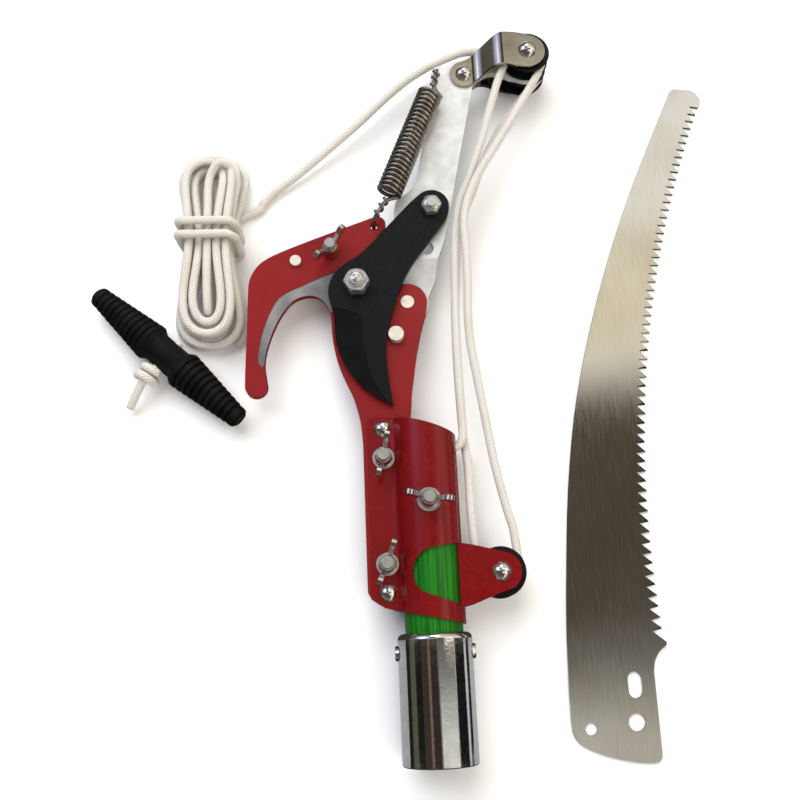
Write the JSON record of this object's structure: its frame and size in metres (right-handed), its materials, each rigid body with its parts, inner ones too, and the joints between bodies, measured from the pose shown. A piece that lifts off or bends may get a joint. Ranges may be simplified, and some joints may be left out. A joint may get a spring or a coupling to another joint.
{
  "type": "pole pruner head",
  "caption": "Pole pruner head with a red hook, black blade, sprung lever, reeved pull rope with handle, pole socket and a loose curved saw blade.",
  "frame": {"origin": "centre of the pole socket's mouth", "axes": "+Y up the pole towards the head, +X to the saw's side, +Z out of the face that the picture shows"},
  "size_m": [0.3109, 0.3527, 0.0434],
  "materials": {
    "red_enamel": "gloss enamel",
    "sleeve_enamel": "gloss enamel, deeper red",
    "green_paint": "gloss paint",
    "chrome": "bright plating",
    "nickel": "bright plating",
    "bright_rivet": "bright zinc",
    "cream_rivet": "pale passivated zinc",
    "zinc": "zinc plate",
    "cast_zinc": "dull zinc plate",
    "black_oxide": "black oxide",
    "lever_zinc": "pale zinc plate",
    "spring_steel": "dark drawn wire",
    "saw_steel": "ground and oiled",
    "black_plastic": "satin",
    "handle_plastic": "matte",
    "rope": "braided"
  },
  "bodies": {
    "head": {"hook_plate": "red_enamel", "clamp_sleeve": "sleeve_enamel", "pole_stub": "green_paint", "ferrule": "chrome", "ferrule_rivets": "bright_rivet", "sleeve_rivets": "bright_rivet", "clamp_bolts": "zinc", "clamp_washers": "zinc", "pole_bolt": "zinc", "saddle_washer": "zinc", "saw_bolt": "zinc", "saw_pin": "cream_rivet", "stop_pin": "cream_rivet", "lever_rivet": "cream_rivet", "pivot_bolt": "zinc", "pivot_nut": "zinc", "pivot_washer": "zinc", "pulley_axle": "bright_rivet", "tie_knot": "rope", "return_spring": "spring_steel", "rope_reeving": "rope", "rope_lead": "rope", "rope_hank": "rope", "rope_tail": "rope", "rope_knot": "rope", "pull_handle": "handle_plastic"},
    "lever": {"lever": "lever_zinc", "front_cheek": "nickel", "back_cheek": "nickel", "cheek_rivet": "bright_rivet", "sheave_axle": "bright_rivet"},
    "blade": {"blade": "black_oxide", "link_bolt": "zinc", "link_nut": "zinc"},
    "front_sheave": {"front_sheave": "black_plastic"},
    "back_sheave": {"back_sheave": "black_plastic"},
    "lower_pulley": {"lower_pulley": "black_plastic"},
    "wing_nut_upper": {"wing_nut_upper": "cast_zinc"},
    "wing_nut_lower": {"wing_nut_lower": "cast_zinc"},
    "wing_nut_pole": {"wing_nut_pole": "cast_zinc"},
    "wing_nut_saw": {"wing_nut_saw": "cast_zinc"},
    "saw_blade": {"saw_blade": "saw_steel"}
  },
  "joints": [
    {"name": "lever_swing", "type": "hinge", "parent": "head", "child": "lever", "pos_m": [-0.005, 0.2045, 0], "axis": [0, 0, 1], "range_deg": [-70, 0], "stiffness_Nm_per_rad": 0.8, "springref_deg": 5.73, "deforming": ["return_spring", "rope_reeving", "rope_lead"]},
    {"name": "blade_swing", "type": "hinge", "parent": "head", "child": "blade", "pos_m": [-0.0285, 0.213, 0.0046], "axis": [0, 0, 1], "range_deg": [-56, 0]},
    {"name": "front_sheave_spin", "type": "hinge", "parent": "lever", "child": "front_sheave", "pos_m": [0.0605, 0.3327, 0.006], "axis": [0, 0, 1], "continuous": true},
    {"name": "back_sheave_spin", "type": "hinge", "parent": "lever", "child": "back_sheave", "pos_m": [0.0605, 0.3327, -0.0055], "axis": [0, 0, 1], "continuous": true},
    {"name": "lower_pulley_spin", "type": "hinge", "parent": "head", "child": "lower_pulley", "pos_m": [0.03, 0.0773, 0], "axis": [0, 0, 1], "continuous": true},
    {"name": "wing_nut_upper_turn", "type": "hinge", "parent": "head", "child": "wing_nut_upper", "pos_m": [-0.019, 0.1295, 0.007], "axis": [0, 0, 1], "continuous": true},
    {"name": "wing_nut_lower_turn", "type": "hinge", "parent": "head", "child": "wing_nut_lower", "pos_m": [-0.019, 0.0825, 0.007], "axis": [0, 0, 1], "continuous": true},
    {"name": "wing_nut_pole_turn", "type": "hinge", "parent": "head", "child": "wing_nut_pole", "pos_m": [0, 0.1085, 0.018], "axis": [0, 0, 1], "continuous": true},
    {"name": "wing_nut_saw_turn", "type": "hinge", "parent": "head", "child": "wing_nut_saw", "pos_m": [-0.0405, 0.232, 0.005], "axis": [0, 0, 1], "continuous": true},
    {"name": "saw_slide", "type": "slide", "parent": "head", "child": "saw_blade", "axis": [1, 0, 0], "range_m": [0, 0.08]}
  ],
  "couplings": [
    {"joint": "blade_swing", "follows": "lever_swing", "ratio": 0.8}
  ]
}
